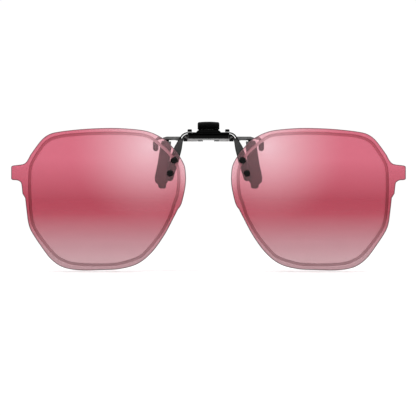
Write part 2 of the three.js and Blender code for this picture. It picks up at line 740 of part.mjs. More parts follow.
function torsionSpring( sign ) {

	const section = new THREE.Shape().absarc( 0, 0, WIRE_R, 0, 2 * Math.PI );
	const wire = new THREE.ExtrudeGeometry( section, {
		extrudePath: new TorsionSpringLine(), steps: 60, curveSegments: 3 } );
	return forSide( toGeometry( toSolid( wire ) ), sign );

}

// ---------------------------------------------------------------- assembly

const clip = new THREE.Group();

function add( parent, name, geometry, look ) {

	const mesh = new THREE.Mesh( geometry, new THREE.MeshStandardMaterial( look ) );
	mesh.name = name;
	parent.add( mesh );
	return mesh;

}

const lensUnit = new THREE.Group();
clip.add( lensUnit );
add( lensUnit, 'lens_bracket', lensBracket(), GUNMETAL );

for ( const [ side, sign ] of Object.entries( SIDES ) ) {

	add( lensUnit, `lens_${side}`, lens( sign ), TINTED_LENS );

	for ( const [ level, [ x, z ] ] of Object.entries( RIVET_SPOTS ) ) {

		const spot = `${side}_${level}`;
		standOnLens( add( lensUnit, `lens_rivet_${spot}`, rivet(), BLACK_PAINT ), sign * x, z );
		standOnLens( add( lensUnit, `lens_bushing_${spot}`, bushing(), NYLON ), sign * x, z );
		const cap = add( lensUnit, `rivet_cap_${spot}`, rivetCap(), BLACK_PAINT );
		standOnLens( cap, sign * x, z, LEG_BACK_DEPTH + SEAT_GAP + CAP_H );

	}

}

const clipBody = new THREE.Group();
clip.add( clipBody );
add( clipBody, 'front_jaw', frontJaw(), BLACK_PAINT );
add( clipBody, 'hinge_barrel', hingeBarrel(), BLACK_PAINT );
add( clipBody, 'finger_pad_front', fingerPad( - 1, 0 ), BLACK_PLASTIC );
const flipPin = add( clipBody, 'flip_pin', pin( EAR_X + EAR_T + SEAT_GAP, 0.8, 0.45 ), STEEL );
flipPin.position.set( 0, FLIP_Y, FLIP_Z );
add( clipBody, 'jaw_pin', pin( 9.25, 0.75, 0.4 ), STEEL );

for ( const [ side, sign ] of Object.entries( SIDES ) ) {

	add( clipBody, `front_claw_sleeve_${side}`, clawSleeve( sign ), SMOKE_SILICONE );
	add( clipBody, `detent_spring_${side}`, forSide( detentSpring(), sign ), STEEL );
	add( clipBody, `detent_rivet_${side}`, forSide( detentRivet(), sign ), BLACK_PAINT );
	add( clipBody, `friction_washer_${side}`, forSide( frictionWasher(), sign ), NYLON );
	add( clipBody, `jaw_spring_${side}`, torsionSpring( sign ), STEEL );

}

const rearUnit = new THREE.Group();
clip.add( rearUnit );
add( rearUnit, 'rear_jaw', rearJaw(), GUNMETAL );
add( rearUnit, 'finger_pad_rear', fingerPad( 1, REAR_FOLD ), BLACK_PLASTIC );

for ( const [ side, sign ] of Object.entries( SIDES ) ) {

	add( rearUnit, `rear_claw_sleeve_${side}`, prongSleeve( sign ), SMOKE_SILICONE );

}

export default clip;
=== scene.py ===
"""Clip-on flip lenses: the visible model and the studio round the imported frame."""

import math

import bmesh
import bpy
from mathutils import Matrix, Vector
from mathutils.geometry import delaunay_2d_cdt


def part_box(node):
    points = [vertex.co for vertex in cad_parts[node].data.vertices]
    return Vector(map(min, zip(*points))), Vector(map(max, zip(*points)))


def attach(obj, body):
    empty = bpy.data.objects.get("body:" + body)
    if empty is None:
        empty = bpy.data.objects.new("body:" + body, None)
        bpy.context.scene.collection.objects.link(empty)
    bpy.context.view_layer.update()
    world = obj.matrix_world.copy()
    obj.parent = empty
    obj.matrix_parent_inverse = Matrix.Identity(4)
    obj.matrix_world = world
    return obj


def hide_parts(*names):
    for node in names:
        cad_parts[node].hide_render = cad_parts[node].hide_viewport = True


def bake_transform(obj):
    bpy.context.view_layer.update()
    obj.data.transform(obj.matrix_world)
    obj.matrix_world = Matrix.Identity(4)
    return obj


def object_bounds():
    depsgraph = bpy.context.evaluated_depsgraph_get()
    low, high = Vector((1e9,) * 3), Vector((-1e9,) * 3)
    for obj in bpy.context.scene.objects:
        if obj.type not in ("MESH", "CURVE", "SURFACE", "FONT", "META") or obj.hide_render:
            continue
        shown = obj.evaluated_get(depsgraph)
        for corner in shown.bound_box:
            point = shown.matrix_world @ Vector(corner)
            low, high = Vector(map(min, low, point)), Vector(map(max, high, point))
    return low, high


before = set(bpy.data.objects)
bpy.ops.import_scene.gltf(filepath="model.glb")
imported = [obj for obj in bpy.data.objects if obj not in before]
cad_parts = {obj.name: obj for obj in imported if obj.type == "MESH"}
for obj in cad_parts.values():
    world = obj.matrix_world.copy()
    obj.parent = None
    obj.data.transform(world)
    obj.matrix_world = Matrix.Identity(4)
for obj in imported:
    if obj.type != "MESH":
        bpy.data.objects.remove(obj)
cad_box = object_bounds()

MM = 0.001

# ------------------------------------------------------------ sizes, in millimetres

LENS_RADIUS = 210.0
LENS_APEX = (22.0, -8.0, -22.0)
LENS_T = 1.9
EDGE_ROUND = 0.3
GROOVE_W = 1.1
GROOVE_D = 0.35
RIVET_SPOTS = {"upper": (12.45, -7.9), "lower": (14.0, -12.65)}
HEAD_R = 1.22
HEAD_H = 0.84
SHANK_R = 0.6
BUSHING_R = 0.95
CAP_R = 1.15
CAP_H = 0.85
CAP_FLOOR = 0.235
GAP = 0.05
FIT = 0.03

FLIP_Y = -3.6
FLIP_Z = 1.1
EAR_X = 7.52
EAR_T = 0.6
EAR_R = 1.1
CAM_FLAT = 0.12
EDGE_STEPS = 6
# a line of bright steel that paints a highlight along each shoulder: its distances in from the outer edge,
# and its stretch along X
SHOULDER_HIGHLIGHT_BAND = (0.52, 0.82)
SHOULDER_HIGHLIGHT_X = (7.5, 9.9)
PIN_R = 0.45
BORE_R = 0.5
BRACKET_T = 0.5
BRACKET_Y = -5.35
LEG_DEPTH = LENS_T + 0.1
BARREL_R = 1.05
BARREL_HALF = 7.3
WASHER_T = 0.14
WIRE_R = 0.18
COIL_R = 0.78
COIL_TURNS = 3.5
COIL_X = (2.2, 3.95)
SPRING_LEG = 1.7
FLIP_PIN_HEAD = (0.8, 0.45)
JAW_PIN_HALF = 9.25
JAW_PIN_HEAD = (0.75, 0.4)
WEB_HALF = 5.5
WEB_Z = (0.5, 1.7)
SHEET_ROUND = 0.1
PAD_ROUND = 0.12
PAD_HIGHLIGHT_LIP = 0.4

# where the jaws' plating changes, and where painted shade blackens the claw fingers below the arms' bend;
# each pair of distances runs from none of it to all of it
KNUCKLE_X = (7.75, 7.55)
KNUCKLE_Z = (0.15, 0.0)
ARM_END_X = (16.9, 17.3)
BLACK_END_X = ((7.55, 7.75), (9.15, 8.95))
BLACK_END_Z = (0.55, 0.35)
# painted shade: black on the claw fingers below the lit top of the arms, at their bend
ARM_SHADE_X = ((13.4, 13.8), (16.4, 16.2))
ARM_SHADE_Z = (0.0, -0.15)

# ------------------------------------------------------------ the studio's sizes and levels

FOCAL_MM = 300.0
SENSOR_MM = 36.0
VIEW_WIDTH = 152.0 * MM
VIEW_CENTRE_X = -0.18 * MM
LENS_PLANE_Y = -6.5 * MM
VIEW_CENTRE_Z = -25.3 * MM

FLOOR_RADIUS = 30.0
FLOOR_DROP = 0.5 * MM

WHITE_LEVEL = 1.02
SKY_LEVELS = (0.5, 1.8)
HAZE_LEVEL = 0.38
HAZE_TOP = 0.2

# each lamp's name, width, place and power
LAMPS = [
    ("key", 0.12, (-0.2, -0.4, 0.5), 0.9),
    ("fill", 0.16, (0.45, -0.35, 0.3), 0.5),
    ("back", 0.16, (0.05, 0.4, 0.5), 0.6),
]
LAMP_AIM = (0, 0, -0.01)

SIDES = {"right": -1, "left": 1}


# ------------------------------------------------------------ small geometry helpers

def catmull(points, steps, closed=False):
    """Points along a uniform Catmull-Rom curve through the given ones."""
    count = len(points)
    spans = count if closed else count - 1
    result = []
    for i in range(spans):
        ends = [i - 1, i, i + 1, i + 2]
        if closed:
            a, b, c, d = (Vector(points[k % count]) for k in ends)
        else:
            a, b, c, d = (Vector(points[min(max(k, 0), count - 1)]) for k in ends)
        for k in range(steps):
            t = k / steps
            result.append(0.5 * (2 * b + (c - a) * t + (2 * a - 5 * b + 4 * c - d) * t * t
                                 + (3 * b - a - 3 * c + d) * t ** 3))
    if not closed:
        result.append(Vector(points[-1]))
    return result


def resampled(points, count):
    """The open line's points, spaced evenly along it."""
    lengths = [0.0]
    for a, b in zip(points, points[1:]):
        lengths.append(lengths[-1] + (b - a).length)
    result = []
    k = 0
    for i in range(count + 1):
        want = lengths[-1] * i / count
        while k < len(points) - 2 and lengths[k + 1] < want:
            k += 1
        span = max(lengths[k + 1] - lengths[k], 1e-9)
        result.append(points[k].lerp(points[k + 1], (want - lengths[k]) / span))
    return result


def smoothstep(value, low, high):
    t = min(max((value - low) / (high - low), 0.0), 1.0)
    return t * t * (3 - 2 * t)


def lens_front(x, z):
    across = math.hypot(abs(x) - LENS_APEX[0], z - LENS_APEX[2])
    return LENS_APEX[1] + LENS_RADIUS - math.sqrt(LENS_RADIUS ** 2 - across ** 2)


def lens_stand(x, z):
    """The place on a lens's front face, with local +Z out of the front along its normal."""
    side = math.copysign(1.0, x)
    normal = Vector((x - side * LENS_APEX[0],
                     lens_front(x, z) - LENS_APEX[1] - LENS_RADIUS,
                     z - LENS_APEX[2])).normalized()
    turn = Vector((0, 0, 1)).rotation_difference(normal).to_matrix().to_4x4()
    return Matrix.Translation((x, lens_front(x, z), z)) @ turn


def along_x(x, y, z):
    """Stands a turned piece's local +Z along +X."""
    return Matrix.Translation((x, y, z)) @ Matrix.Rotation(math.pi / 2, 4, "Y")


def rings_mesh(bm, rings, closed_ends=True):
    """Joins rings of equal length into a skin, with a fan or face over each end."""
    loops = [[bm.verts.new(p) for p in ring] for ring in rings]
    count = len(loops[0])
    for lower, upper in zip(loops, loops[1:]):
        for i in range(count):
            k = (i + 1) % count
            bm.faces.new((lower[i], lower[k], upper[k], upper[i]))
    if closed_ends:
        for loop, flip in ((loops[0], True), (loops[-1], False)):
            centre = bm.verts.new(sum((v.co for v in loop), Vector()) / count)
            for i in range(count):
                k = (i + 1) % count
                ends = (loop[k], loop[i]) if flip else (loop[i], loop[k])
                bm.faces.new((*ends, centre))
    return loops


def turned_mesh(bm, profile, segments=48, place=None):
    """A lathe about local +Z from (radius, height) pairs; radius 0 closes an end."""
    verts = []
    for radius, height in profile:
        if radius < 1e-6:
            verts.append([bm.verts.new((0, 0, height))])
            continue
        turn = [2 * math.pi * i / segments for i in range(segments)]
        verts.append([bm.verts.new((radius * math.cos(a), radius * math.sin(a), height)) for a in turn])
    for low, high in zip(verts, verts[1:]):
        for i in range(segments):
            k = (i + 1) % segments
            ring = [low[i % len(low)], low[k % len(low)], high[k % len(high)], high[i % len(high)]]
            face = list(dict.fromkeys(ring))
            if len(face) > 2:
                bm.faces.new(face)
    if place is not None:
        bmesh.ops.transform(bm, matrix=place, verts=[v for ring in verts for v in ring])


def slab_mesh(bm, outline, y0, y1):
    """A plate from an outline in X and Z between two planes of constant Y."""
    front = [bm.verts.new((x, y0, z)) for x, z in outline]
    back = [bm.verts.new((x, y1, z)) for x, z in outline]
    count = len(outline)
    bm.faces.new(front)
    bm.faces.new(back[::-1])
    for i in range(count):
        k = (i + 1) % count
        bm.faces.new((front[k], front[i], back[i], back[k]))


def mirrored(bm, sign):
    if sign < 0:
        bmesh.ops.scale(bm, vec=(-1, 1, 1), verts=bm.verts)


def rounded(bm, width, angle=30.0, segments=3):
    """Rounds the mesh's edges that are sharper than the angle."""
    limit = math.radians(angle)
    edges = [e for e in bm.edges if len(e.link_faces) == 2 and e.calc_face_angle() > limit]
    bmesh.ops.bevel(bm, geom=edges, offset=width, offset_type="OFFSET", segments=segments,
                    profile=0.5, affect="EDGES", clamp_overlap=True)


def piece(name, bm, look, body, nodes, sharp=35.0, sign=1):
    """Makes a finished object from a mesh in millimetres and ties it to the frame."""
    mirrored(bm, sign)
    bmesh.ops.remove_doubles(bm, verts=bm.verts, dist=1e-4)
    bmesh.ops.recalc_face_normals(bm, faces=bm.faces)
    bmesh.ops.scale(bm, vec=(MM, MM, MM), verts=bm.verts)
    limit = math.radians(sharp)
    for edge in bm.edges:
        edge.smooth = edge.calc_face_angle(0.0) < limit
    for face in bm.faces:
        face.smooth = True
    obj = new_object(name, bm)
    for item in look if isinstance(look, (list, tuple)) else [look]:
        obj.data.materials.append(item)
    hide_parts(*nodes)
    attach(obj, body)
    return obj


def new_object(name, bm):
    mesh = bpy.data.meshes.new(name)
    bm.to_mesh(mesh)
    bm.free()
    obj = bpy.data.objects.new(name, mesh)
    bpy.context.scene.collection.objects.link(obj)
    return obj


def refined(node, name, look, body, width, lip=0.0):
    """A finished piece in a CAD node's shape, with its edges rounded.

    Faces within the lip's height of its lowest point take the second material; on the pads it is a grey
    plastic that paints a highlight along their foot.
    """
    bm = bmesh.new()
    bm.from_mesh(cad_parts[node].data)
    bmesh.ops.scale(bm, vec=(1 / MM, 1 / MM, 1 / MM), verts=bm.verts)
    bmesh.ops.remove_doubles(bm, verts=bm.verts, dist=1e-3)
    bmesh.ops.dissolve_limit(bm, angle_limit=math.radians(1.0), verts=bm.verts, edges=bm.edges)
    rounded(bm, width)
    low = min(v.co.z for v in bm.verts)
    for face in bm.faces:
        face.material_index = int(face.calc_center_median().z < low + lip)
    return piece(name, bm, look, body, [node])


# ------------------------------------------------------------ materials

def material(name, **sockets):
    mat = bpy.data.materials.new(name)
    mat.use_nodes = True
    shader = mat.node_tree.nodes["Principled BSDF"]
    for socket, value in sockets.items():
        shader.inputs[socket.replace("_", " ")].default_value = value
    return mat, mat.node_tree, shader


def add_node(tree, kind, **values):
    node = tree.nodes.new(kind)
    for key, value in values.items():
        if key in node.inputs:
            node.inputs[key].default_value = value
        else:
            setattr(node, key, value)
    return node


def object_coordinates(tree, scale=(1, 1, 1)):
    place = tree.nodes.new("ShaderNodeTexCoord")
    mapping = tree.nodes.new("ShaderNodeMapping")
    mapping.inputs["Scale"].default_value = scale
    tree.links.new(place.outputs["Object"], mapping.inputs["Vector"])
    return mapping.outputs["Vector"]


def noise(tree, vector, scale, detail=4.0):
    node = add_node(tree, "ShaderNodeTexNoise", Scale=scale, Detail=detail)
    tree.links.new(vector, node.inputs["Vector"])
    return node.outputs["Fac"]


def ramp(tree, value, stops):
    node = tree.nodes.new("ShaderNodeValToRGB")
    elements = node.color_ramp.elements
    while len(elements) < len(stops):
        elements.new(0.5)
    for element, (position, colour) in zip(elements, stops):
        element.position = position
        element.color = (*colour, 1)
    tree.links.new(value, node.inputs["Fac"])
    return node.outputs["Color"]


def grey(level):
    return (level, level, level)


def bump(tree, shader, height, distance_mm, strength=0.5):
    node = add_node(tree, "ShaderNodeBump", Strength=strength, Distance=distance_mm * MM)
    tree.links.new(height, node.inputs["Height"])
    tree.links.new(node.outputs["Normal"], shader.inputs["Normal"])


def vary(tree, shader, socket, value, low, high):
    node = add_node(tree, "ShaderNodeMapRange")
    node.inputs["To Min"].default_value = low
    node.inputs["To Max"].default_value = high
    tree.links.new(value, node.inputs["Value"])
    tree.links.new(node.outputs["Result"], shader.inputs[socket])


def painted_metal(name, dark, light, roughness, metallic, specular):
    """Enamel or plating with a faint orange peel and slightly uneven colour."""
    mat, tree, shader = material(name, Metallic=metallic)
    shader.inputs["Specular IOR Level"].default_value = specular
    vector = object_coordinates(tree)
    cloud = noise(tree, vector, 900.0, 5.0)
    tree.links.new(ramp(tree, cloud, [(0.3, dark), (0.75, light)]), shader.inputs["Base Color"])
    vary(tree, shader, "Roughness", cloud, roughness - 0.05, roughness + 0.08)
    bump(tree, shader, noise(tree, vector, 4200.0, 2.0), 0.01, 0.25)
    return mat


def mask(tree, axis, low_mm, high_mm):
    """0 at one distance along an axis and 1 at the other, the same on both sides of the middle."""
    place = tree.nodes.new("ShaderNodeTexCoord")
    split = tree.nodes.new("ShaderNodeSeparateXYZ")
    tree.links.new(place.outputs["Object"], split.inputs["Vector"])
    value = split.outputs[axis]
    if axis == "X":
        across = tree.nodes.new("ShaderNodeMath")
        across.operation = "ABSOLUTE"
        tree.links.new(value, across.inputs[0])
        value = across.outputs[0]
    span = add_node(tree, "ShaderNodeMapRange")
    span.interpolation_type = "SMOOTHSTEP"
    span.inputs["From Min"].default_value = low_mm * MM
    span.inputs["From Max"].default_value = high_mm * MM
    tree.links.new(value, span.inputs["Value"])
    return span.outputs["Result"]


def calculated(tree, operation, a, b):
    node = tree.nodes.new("ShaderNodeMath")
    node.operation = operation
    tree.links.new(a, node.inputs[0])
    tree.links.new(b, node.inputs[1])
    return node.outputs[0]


def zone(tree, across, height):
    """Where a stretch along X, given by the masks at its two ends, meets a band of heights."""
    start, end = across
    stretch = calculated(tree, "MULTIPLY", mask(tree, "X", *start), mask(tree, "X", *end))
    return calculated(tree, "MULTIPLY", stretch, mask(tree, "Z", *height))


def mixed(tree, share, a, b):
    node = tree.nodes.new("ShaderNodeMix")
    node.data_type = "RGBA"
    for socket, value in zip((0, 6, 7), (share, a, b)):
        tree.links.new(value, node.inputs[socket])
    return node.outputs[2]


def dipped_metal(name, sheet_dark, sheet_light, line, knuckles=False):
    """Plated sheet, dipped in black enamel above a line. Knuckles are bare between black ends."""
    mat, tree, shader = material(name)
    shader.inputs["Specular IOR Level"].default_value = 0.05
    vector = object_coordinates(tree)
    cloud = noise(tree, vector, 1100.0, 5.0)
    metal = ramp(tree, cloud, [(0.3, sheet_dark), (0.7, sheet_light)])
    enamel = ramp(tree, cloud, [(0.3, grey(0.0006)), (0.75, grey(0.002))])
    dipped = mask(tree, "Z", *line)
    if knuckles:
        bare = ramp(tree, cloud, [(0.3, grey(0.27)), (0.7, grey(0.37))])
        middle = calculated(tree, "MULTIPLY", mask(tree, "X", *KNUCKLE_X), mask(tree, "Z", *KNUCKLE_Z))
        metal = mixed(tree, calculated(tree, "MAXIMUM", middle, mask(tree, "X", *ARM_END_X)), metal, bare)
        ends = zone(tree, BLACK_END_X, BLACK_END_Z)
        # painted shade: the claw fingers below the arms' bend are blackened with the enamel
        arm_shade = zone(tree, ARM_SHADE_X, ARM_SHADE_Z)
        dipped = calculated(tree, "MAXIMUM", dipped, calculated(tree, "MAXIMUM", ends, arm_shade))
    tree.links.new(mixed(tree, dipped, metal, enamel), shader.inputs["Base Color"])
    vary(tree, shader, "Metallic", dipped, 0.85, 0.0)
    vary(tree, shader, "Roughness", dipped, 0.38, 0.2)
    bump(tree, shader, noise(tree, vector, 4200.0, 2.0), 0.01, 0.25)
    return mat


def drawn_steel(name, tone):
    """Bright steel with fine draw lines along X."""
    mat, tree, shader = material(name, Metallic=1.0)
    vector = object_coordinates(tree, (0.08, 1, 1))
    lines = noise(tree, vector, 6500.0, 3.0)
    stops = [(0.3, grey(tone * 0.75)), (0.7, grey(tone * 1.15))]
    tree.links.new(ramp(tree, lines, stops), shader.inputs["Base Color"])
    vary(tree, shader, "Roughness", lines, 0.2, 0.4)
    bump(tree, shader, lines, 0.006, 0.3)
    return mat


def moulded(name, dark, light, roughness, specular, grain):
    """Moulded plastic or silicone with a fine spark-eroded grain."""
    mat, tree, shader = material(name)
    shader.inputs["Specular IOR Level"].default_value = specular
    vector = object_coordinates(tree)
    cloud = noise(tree, vector, 500.0, 3.0)
    tree.links.new(ramp(tree, cloud, [(0.3, dark), (0.7, light)]), shader.inputs["Base Color"])
    vary(tree, shader, "Roughness", cloud, roughness - 0.05, roughness + 0.05)
    bump(tree, shader, noise(tree, vector, grain, 2.0), 0.012, 0.35)
    return mat


def srgb(r, g, b):
    def linear(v):
        v /= 255.0
        return v / 12.92 if v <= 0.04045 else ((v + 0.055) / 1.055) ** 2.4
    return tuple(linear(v) for v in (r, g, b))


# the share of white that the lens's faces reflect, and the share that its haze lets through
REFLECTED = 0.045
KEPT = 0.94

# the painted highlight by the bridge, a soft reflection painted into the lens's tint: its middle, reach and
# tint, and its stretch down the nose side
HIGHLIGHT_SPOT = (21.5 * MM, 0.0, -2.6 * MM)
HIGHLIGHT_REACH = 30.0 * MM
HIGHLIGHT_TINT = srgb(240, 198, 206)
HIGHLIGHT_HEIGHT = 0.87
HIGHLIGHT_NOSE_X = (18.5, 5.0)
HIGHLIGHT_NOSE_Z = (-25.0, -8.0)
HIGHLIGHT_MOST = 0.95
HIGHLIGHT_FALL = 1.6

# the lens's tints by height, as white looks through them: a pale foot, a deep belt and a rosy brow; the
# pink is the dye's, while the deep belt and the paler foot below it are a painted reflection of the
# studio's horizon
FOOT_TINT = srgb(185, 150, 155)
CHIN_TINT = srgb(190, 138, 146)
BELT_REFLECTION_TINT = srgb(180, 80, 95)
BROW_TINT = srgb(214, 116, 134)
LENS_TINTS = [(0.08, FOOT_TINT), (0.2, CHIN_TINT), (0.4, BELT_REFLECTION_TINT), (0.5, BELT_REFLECTION_TINT), (0.78, BROW_TINT)]


def tint_field(tree):
    """The height over the lens, from 0 to 1, and how near the painted highlight by the bridge is."""
    low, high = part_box("lens_left")
    place = tree.nodes.new("ShaderNodeTexCoord")
    split = tree.nodes.new("ShaderNodeSeparateXYZ")
    tree.links.new(place.outputs["Object"], split.inputs["Vector"])
    height = add_node(tree, "ShaderNodeMapRange")
    height.inputs["From Min"].default_value = low.z
    height.inputs["From Max"].default_value = high.z
    tree.links.new(split.outputs["Z"], height.inputs["Value"])
    across = tree.nodes.new("ShaderNodeMath")
    across.operation = "ABSOLUTE"
    tree.links.new(split.outputs["X"], across.inputs[0])
    spot = tree.nodes.new("ShaderNodeCombineXYZ")
    tree.links.new(across.outputs[0], spot.inputs["X"])
    tree.links.new(split.outputs["Z"], spot.inputs["Z"])
    away = tree.nodes.new("ShaderNodeVectorMath")
    away.operation = "DISTANCE"
    away.inputs[1].default_value = HIGHLIGHT_SPOT
    tree.links.new(spot.outputs[0], away.inputs[0])
    near = add_node(tree, "ShaderNodeMapRange")
    near.inputs["From Max"].default_value = HIGHLIGHT_REACH
    near.inputs["To Min"].default_value = 1.0
    near.inputs["To Max"].default_value = 0.0
    tree.links.new(away.outputs["Value"], near.inputs["Value"])
    fall = tree.nodes.new("ShaderNodeMath")
    fall.operation = "POWER"
    fall.inputs[1].default_value = HIGHLIGHT_FALL
    tree.links.new(near.outputs["Result"], fall.inputs[0])
    most = tree.nodes.new("ShaderNodeMath")
    most.operation = "MULTIPLY"
    most.inputs[1].default_value = HIGHLIGHT_MOST
    tree.links.new(fall.outputs[0], most.inputs[0])
    glow = most.outputs[0]
    nose = calculated(tree, "MULTIPLY", mask(tree, "X", *HIGHLIGHT_NOSE_X), mask(tree, "Z", *HIGHLIGHT_NOSE_Z))
    return height.outputs["Result"], calculated(tree, "MAXIMUM", glow, nose)


def tint_colour(tree, change):
    """The lens's colour over its surface, with each of its tints changed the same way."""
    height, glow = tint_field(tree)
    mix = tree.nodes.new("ShaderNodeMix")
    mix.data_type = "RGBA"
    mix.inputs[7].default_value = (*change(HIGHLIGHT_TINT, HIGHLIGHT_HEIGHT), 1)
    tree.links.new(glow, mix.inputs[0])
    tree.links.new(ramp(tree, height, [(at, change(c, at)) for at, c in LENS_TINTS]), mix.inputs[6])
    return mix.outputs[2]


def lens_material(name, change, roughness, transmission, grain, shine=0.5):
    mat, tree, shader = material(name, IOR=1.5)
    shader.inputs["Specular IOR Level"].default_value = shine
    shader.inputs["Transmission Weight"].default_value = transmission
    tree.links.new(tint_colour(tree, change), shader.inputs["Base Color"])
    vector = object_coordinates(tree)
    vary(tree, shader, "Roughness", noise(tree, vector, 350.0), roughness, roughness * 1.6)
    if grain:
        bump(tree, shader, noise(tree, vector, grain, 2.0), 0.02, 0.4)
    return mat


def clear_tint(colour, height):
    """The tint less the lens's reflections and haze, which are the same at every height."""
    return tuple(max((c - REFLECTED) / KEPT, 0.003) for c in colour)


def groove_shade_tint(colour, height):
    """The groove's matt floor is tinted darker, and darker still in the lens's upper part as painted shade.
    """
    share = 0.6 + 0.2 * (1 - smoothstep(height, 0.05, 0.4))
    return tuple(share * c ** 1.35 for c in colour)


def edge_tint(colour, height):
    """The ground edge looks dark, except along the brow."""
    share = 0.17 + 0.5 * smoothstep(height, 0.94, 0.99)
    return tuple(share * c for c in colour)


# the lens's tint carries painted light: a highlight by the bridge and a reflection of the studio's horizon
LENS_CLEAR = lens_material("lens_tint", clear_tint, 0.012, 0.95, 0)
LENS_GROOVE = lens_material("lens_groove", groove_shade_tint, 0.4, 0.3, 2600.0, 0.2)
LENS_EDGE = lens_material("lens_ground_edge", edge_tint, 0.35, 0.3, 3500.0, 0.1)
ENAMEL = painted_metal("black_enamel", grey(0.0006), grey(0.002), 0.2, 0.0, 0.05)
MATT_BLACK = painted_metal("matt_black", grey(0.0005), grey(0.0015), 0.45, 0.0, 0.0)
RIVET_BLACK = painted_metal("rivet_black", grey(0.0008), grey(0.002), 0.12, 0.0, 0.09)
DIPPED_BRACKET = dipped_metal("bracket_plating", grey(0.038), grey(0.052), (-0.9, 0.9))
DIPPED_JAW = dipped_metal("jaw_plating", grey(0.1), grey(0.16), (0.86, 1.02), knuckles=True)
BRIGHT_STEEL = drawn_steel("bright_steel", 0.85)
PALE_STEEL = drawn_steel("pin_steel", 0.36)
STEEL = drawn_steel("blackened_steel", 0.16)
SPRING_STEEL = drawn_steel("spring_steel", 0.13)
PLASTIC = moulded("black_plastic", grey(0.0008), grey(0.0025), 0.24, 0.05, 5200.0)
# a grey plastic along the pads' foot, as a painted highlight on their lower edge
PAD_HIGHLIGHT_PLASTIC = moulded("pad_foot_painted_highlight", grey(0.1), grey(0.14), 0.4, 0.3, 5200.0)
SILICONE = moulded("claw_silicone", grey(0.07), grey(0.095), 0.4, 0.35, 3800.0)
NYLON = moulded("black_nylon", grey(0.02), grey(0.032), 0.45, 0.3, 3000.0)


# ------------------------------------------------------------ the lenses

def lens_outline(steps=7):
    brow = [(8.2, -14.4), (8.7, -9.9), (11, -5.7), (14.9, -1.1), (18.2, 1.1), (21.4, 2.5), (25.1, 3.3),
            (32.4, 3.9), (39.8, 3.9), (47.1, 3.5), (54.4, 2.7), (58.4, 1.7), (61.5, -0.7), (65.3, -5.8)]
    tab = [(65.3, -5.8), (66.4, -7.9), (67.5, -9), (69, -9.4), (71.6, -9.7), (72.2, -10), (72.4, -10.6),
           (72.4, -14.2), (72.2, -14.8), (71.6, -15.05), (70.2, -15.15), (69.2, -15.6), (68.6, -16.5),
           (68.2, -20)]
    cheek = [(67.2, -21.6), (66.6, -26.9), (66, -31), (64.8, -34.1), (61.6, -39), (57.9, -43.9),
             (53.4, -47), (47.1, -48.1), (39.8, -48), (32.4, -47.6), (26, -45.8), (20.9, -41.8),
             (16.2, -35.4), (12.6, -28.7), (11.2, -25.9)]
    nose = [(11.2, -25.9), (9.8, -23.6), (8.5, -18), (8.2, -14.4)]
    line = catmull(brow, steps)[:-1] + catmull(tab, 3) + catmull(cheek, steps)[:-1] + catmull(nose, steps)
    return [p for p, after in zip(line, line[1:] + line[:1]) if (p - after).length > 0.04]


def groove_line(steps=8):
    points = [(10.8, -14.3), (11.5, -9.7), (13.9, -5.9), (17.8, -2.1), (21.4, 0.5), (25.1, 1.5), (32.4, 2),
              (39.8, 2), (47.1, 1.65), (54.4, 0.9), (59.2, -1), (62.5, -5.1), (65, -9.8), (65.5, -15),
              (65.4, -21.3), (65.05, -26.8), (64.2, -31.3), (62.2, -35), (59.1, -39.2), (55.8, -42.8),
              (52.8, -44.6), (49, -45.7), (42.7, -46.1), (36.1, -46), (32.4, -45.6), (26.2, -43.7),
              (22.9, -41.3), (17.8, -35.1), (14.2, -28.6), (12.5, -23.7), (11.3, -20)]
    return catmull(points, steps, closed=True)


def distance_to(line, p):
    """How far a point lies from a closed line."""
    nearest = 1e9
    for a, b in zip(line, line[1:] + line[:1]):
        along = min(max((p - a).dot(b - a) / (b - a).length_squared, 0), 1)
        nearest = min(nearest, (a.lerp(b, along) - p).length)
    return nearest


def offset_line(line, distance):
    """A closed line moved towards its inside, along its normals."""
    moved = []
    for before, p, after in zip(line[-1:] + line[:-1], line, line[1:] + line[:1]):
        ahead = (after - before).normalized()
        moved.append(p + Vector((ahead.y, -ahead.x)) * distance)
    return moved


def fitted(line):
    """Keeps an outline inside the CAD lens's box."""
    low, high = (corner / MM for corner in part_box("lens_left"))
    return [Vector((min(max(p.x, low.x), high.x), min(max(p.y, low.z), high.z))) for p in line]


def inside(line, p):
    within = False
    for a, b in zip(line, line[1:] + line[:1]):
        if (a.y > p.y) != (b.y > p.y) and p.x < a.x + (p.y - a.y) / (b.y - a.y) * (b.x - a.x):
            within = not within
    return within


def spread_points(edge, spacing=1.7):
    """Points in staggered rows inside a closed line, a little way off it."""
    low = Vector((min(p.x for p in edge), min(p.y for p in edge)))
    high = Vector((max(p.x for p in edge), max(p.y for p in edge)))
    points = []
    rows = int((high.y - low.y) / (spacing * 0.87))
    for row in range(rows + 1):
        for column in range(int((high.x - low.x) / spacing) + 1):
            p = low + Vector(((column + 0.5 * (row % 2)) * spacing, row * spacing * 0.87))
            if inside(edge, p) and distance_to(edge, p) > spacing * 0.55:
                points.append(p)
    return points


